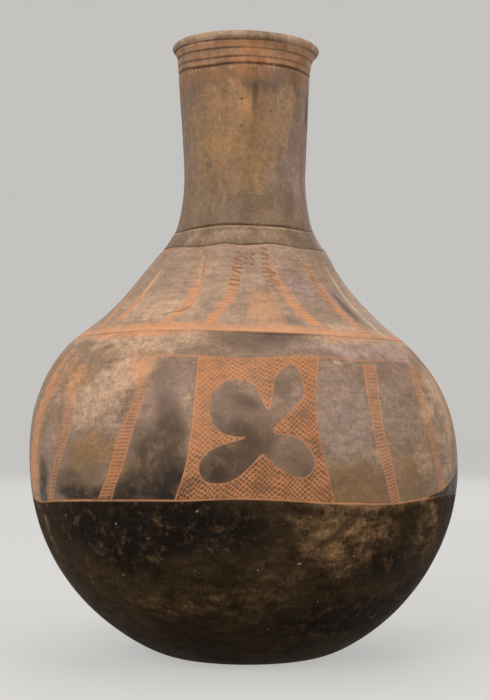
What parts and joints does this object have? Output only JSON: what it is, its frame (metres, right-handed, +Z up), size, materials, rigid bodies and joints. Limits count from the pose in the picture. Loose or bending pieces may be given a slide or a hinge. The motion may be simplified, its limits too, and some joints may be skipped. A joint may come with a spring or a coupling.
{
  "type": "engraved pottery bottle",
  "caption": "Hand-built round-bodied earthenware bottle with a tall neck, a rolled lip and engraved hatched panels on the body.",
  "frame": {"origin": "middle of the flat foot, on the surface that the bottle stands on", "axes": "+Z up along the bottle's axis, -Y towards the viewer of the picture, +X to the viewer's right"},
  "size_m": [0.1957, 0.1956, 0.2801],
  "materials": {
    "lower_clay": "burnished, smoke-darkened earthenware",
    "engraved_clay": "burnished earthenware, engraved lines showing orange clay",
    "shoulder_clay": "burnished grey-tan earthenware",
    "neck_clay": "burnished tan to olive-brown earthenware"
  },
  "bodies": {
    "root": {"base_disc": "lower_clay", "lower_bowl": "lower_clay", "belly_wall": "engraved_clay", "shoulder_band": "engraved_clay", "shoulder_cone": "shoulder_clay", "neck_collar": "neck_clay", "neck_tube": "neck_clay", "rim_coil": "neck_clay"}
  },
  "joints": []
}
